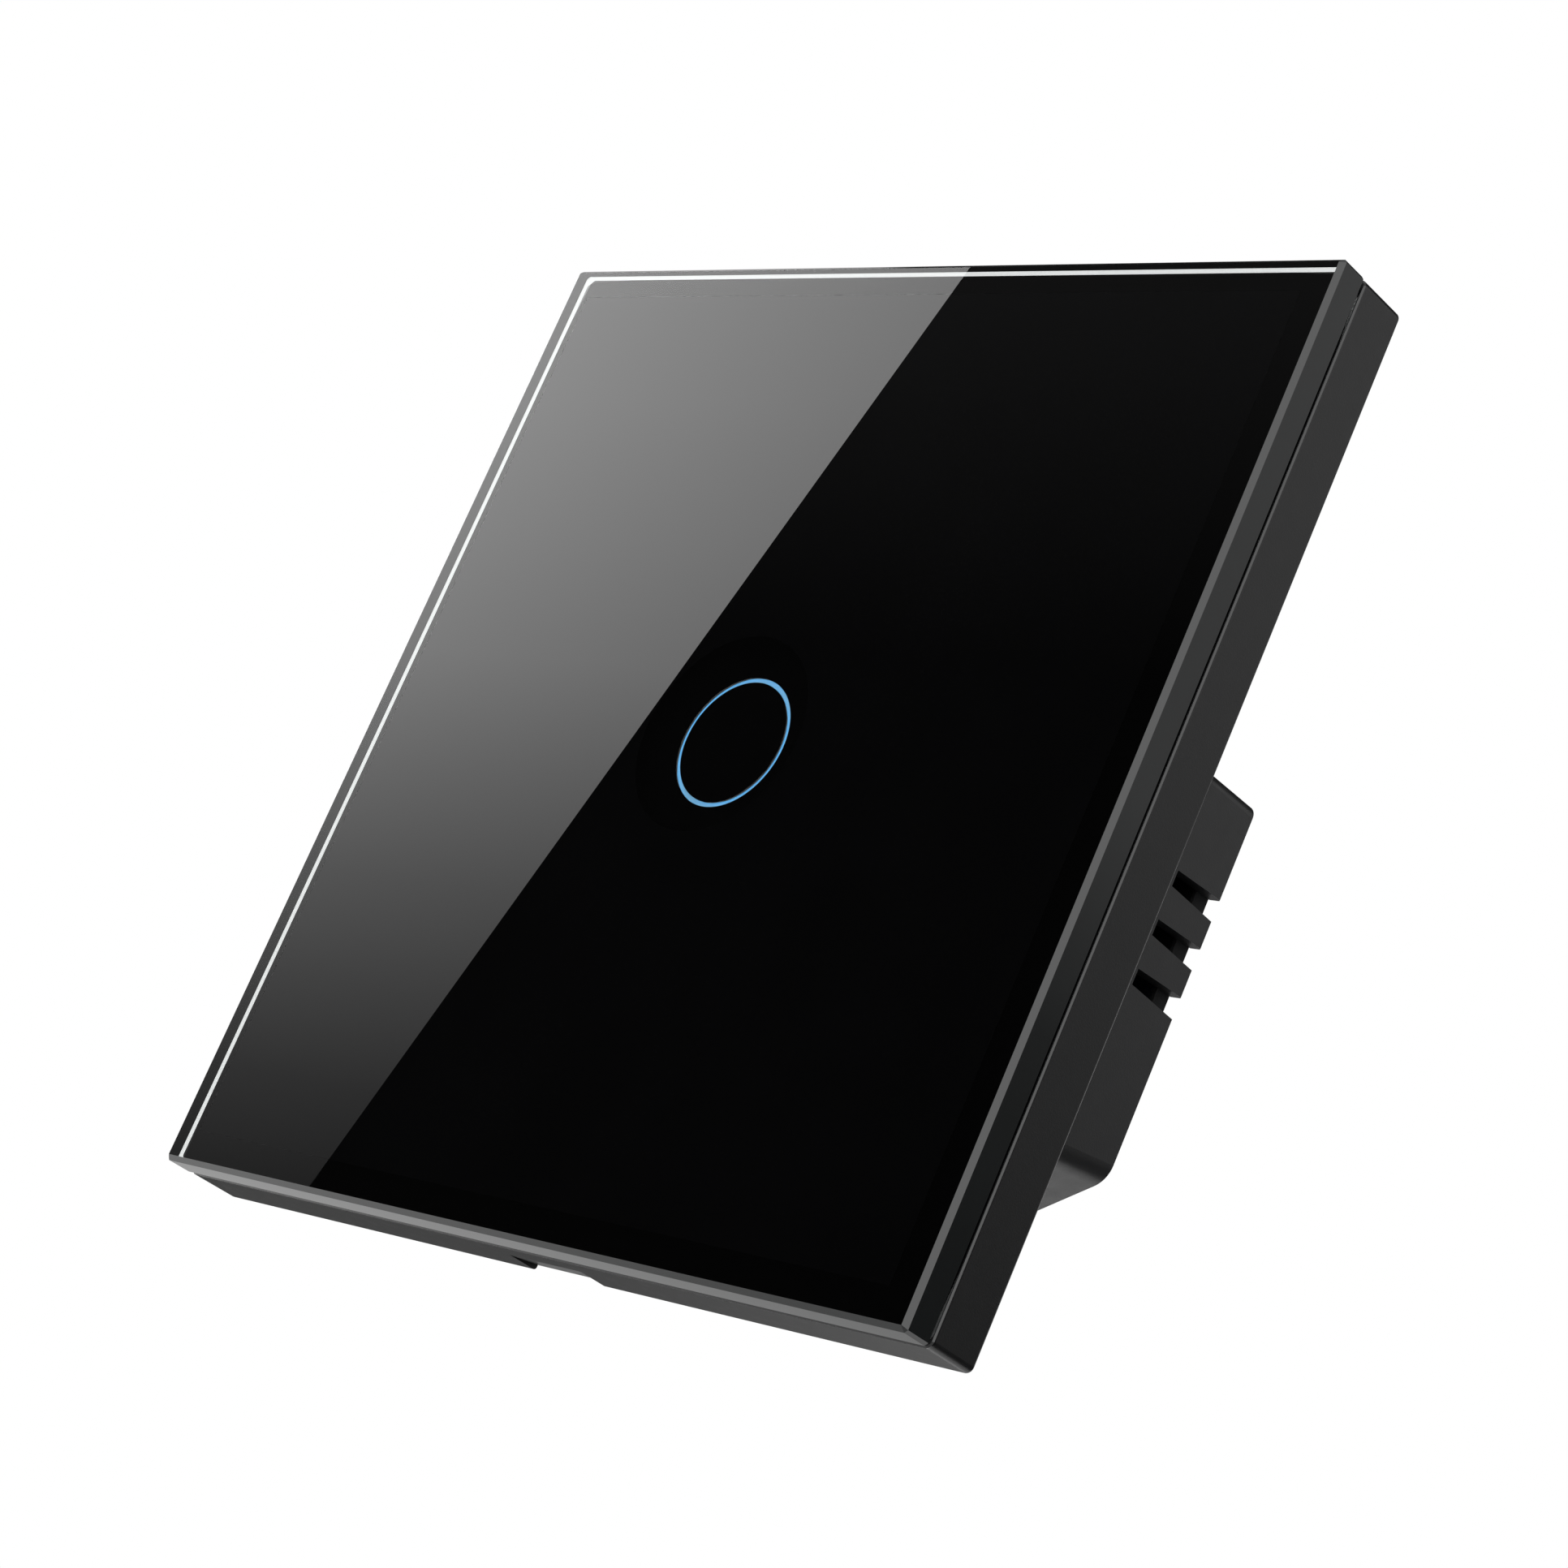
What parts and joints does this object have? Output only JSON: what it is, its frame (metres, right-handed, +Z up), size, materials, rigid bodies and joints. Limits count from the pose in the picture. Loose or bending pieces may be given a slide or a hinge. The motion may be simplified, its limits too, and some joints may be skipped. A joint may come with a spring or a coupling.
{
  "type": "touch light switch",
  "caption": "Square black glass touch switch for a wall box, with a thin frame, a lit ring, a vented rear housing, a relay and screw terminals.",
  "frame": {"origin": "centre of the panel on the wall's surface, midway between the two wall screws", "axes": "+X to the right as one faces the switch, +Y into the wall, +Z up; the glass is at negative Y"},
  "size_m": [0.086, 0.0332, 0.086],
  "materials": {
    "panel_glass": "polished clear float glass, dark because of the black print behind it",
    "black_print": "black screen print seen through the glass",
    "foam_tape": "thin foam tape, matt",
    "frame_plastic": "fine spark-eroded texture, satin",
    "housing_plastic": "fine spark-eroded texture, satin",
    "screw_steel": "zinc plated",
    "board": "green solder mask, semi-gloss",
    "terminal_plastic": "satin",
    "brass": "stamped, bright",
    "relay_blue": "moulded, glossy",
    "bobbin_plastic": "natural polyester, satin",
    "iron": "nickel plated",
    "copper_wire": "enamelled copper",
    "spring_metal": "spring bronze",
    "tin": "tin plated",
    "ferrite": "sintered, matt",
    "winding_tape": "yellow polyester tape",
    "can_sleeve": "shrink sleeve",
    "film_yellow": "moulded box",
    "disc_blue": "epoxy dipped",
    "fuse_brown": "moulded",
    "chip_black": "moulded epoxy",
    "chip_tan": "sintered",
    "clear_guide": "clear acrylic, frosted crest",
    "black_foam": "open foam",
    "lamp": "light-emitting chip, blue"
  },
  "bodies": {
    "base": {"mounting_plate": "housing_plastic", "base_housing": "housing_plastic", "rear_cover": "housing_plastic", "cover_screws": "screw_steel", "power_board": "board", "terminal_block": "terminal_plastic", "contact_strips": "brass", "relay_case": "relay_blue", "relay_base": "bobbin_plastic", "relay_yoke": "iron", "relay_bobbin": "bobbin_plastic", "relay_coil": "copper_wire", "relay_contact": "spring_metal", "relay_pins": "tin", "transformer_core": "ferrite", "transformer_bobbin": "bobbin_plastic", "transformer_winding": "winding_tape", "bulk_capacitor": "can_sleeve", "film_capacitor": "film_yellow", "varistor": "disc_blue", "fuse": "fuse_brown", "bridge_rectifier": "chip_black", "power_chip": "chip_black", "touch_board": "board", "touch_chip": "chip_black", "chip_capacitors": "chip_tan", "header_strip": "chip_black", "header_pins": "tin", "header_socket": "chip_black", "light_guide": "clear_guide", "light_shield": "black_foam", "indicator_leds": "lamp", "touch_spring": "tin"},
    "front_panel": {"glass_panel": "panel_glass", "back_print": "black_print", "bonding_tape": "foam_tape", "front_frame": "frame_plastic"},
    "armature": {"relay_armature": "iron", "relay_blade": "spring_metal"},
    "clamp_1": {"terminal_clamp_1": "tin"},
    "screw_1": {"terminal_screw_1": "screw_steel"},
    "clamp_2": {"terminal_clamp_2": "tin"},
    "screw_2": {"terminal_screw_2": "screw_steel"},
    "clamp_3": {"terminal_clamp_3": "tin"},
    "screw_3": {"terminal_screw_3": "screw_steel"}
  },
  "joints": [
    {"name": "panel_release", "type": "slide", "parent": "base", "child": "front_panel", "axis": [0, -1, 0], "range_m": [0, 0.012]},
    {"name": "relay_armature_pivot", "type": "hinge", "parent": "base", "child": "armature", "pos_m": [0.0036, 0.0165, -0.0075], "axis": [0, 0, 1], "range_deg": [-2.4, 0], "stiffness_Nm_per_rad": 0.02, "springref_deg": 3.44},
    {"name": "terminal_screw_1_turn", "type": "hinge", "parent": "base", "child": "screw_1", "pos_m": [-0.0095, 0.021, 0.00705], "axis": [0, -1, 0], "range_deg": [0, 2520]},
    {"name": "terminal_clamp_1_lift", "type": "slide", "parent": "base", "child": "clamp_1", "axis": [0, 1, 0], "range_m": [0, 0.0035]},
    {"name": "terminal_screw_2_turn", "type": "hinge", "parent": "base", "child": "screw_2", "pos_m": [0, 0.021, 0.00705], "axis": [0, -1, 0], "range_deg": [0, 2520]},
    {"name": "terminal_clamp_2_lift", "type": "slide", "parent": "base", "child": "clamp_2", "axis": [0, 1, 0], "range_m": [0, 0.0035]},
    {"name": "terminal_screw_3_turn", "type": "hinge", "parent": "base", "child": "screw_3", "pos_m": [0.0095, 0.021, 0.00705], "axis": [0, -1, 0], "range_deg": [0, 2520]},
    {"name": "terminal_clamp_3_lift", "type": "slide", "parent": "base", "child": "clamp_3", "axis": [0, 1, 0], "range_m": [0, 0.0035]}
  ],
  "couplings": [
    {"joint": "terminal_screw_1_turn", "follows": "terminal_clamp_1_lift", "rad_per_m": 12566},
    {"joint": "terminal_screw_2_turn", "follows": "terminal_clamp_2_lift", "rad_per_m": 12566},
    {"joint": "terminal_screw_3_turn", "follows": "terminal_clamp_3_lift", "rad_per_m": 12566}
  ]
}
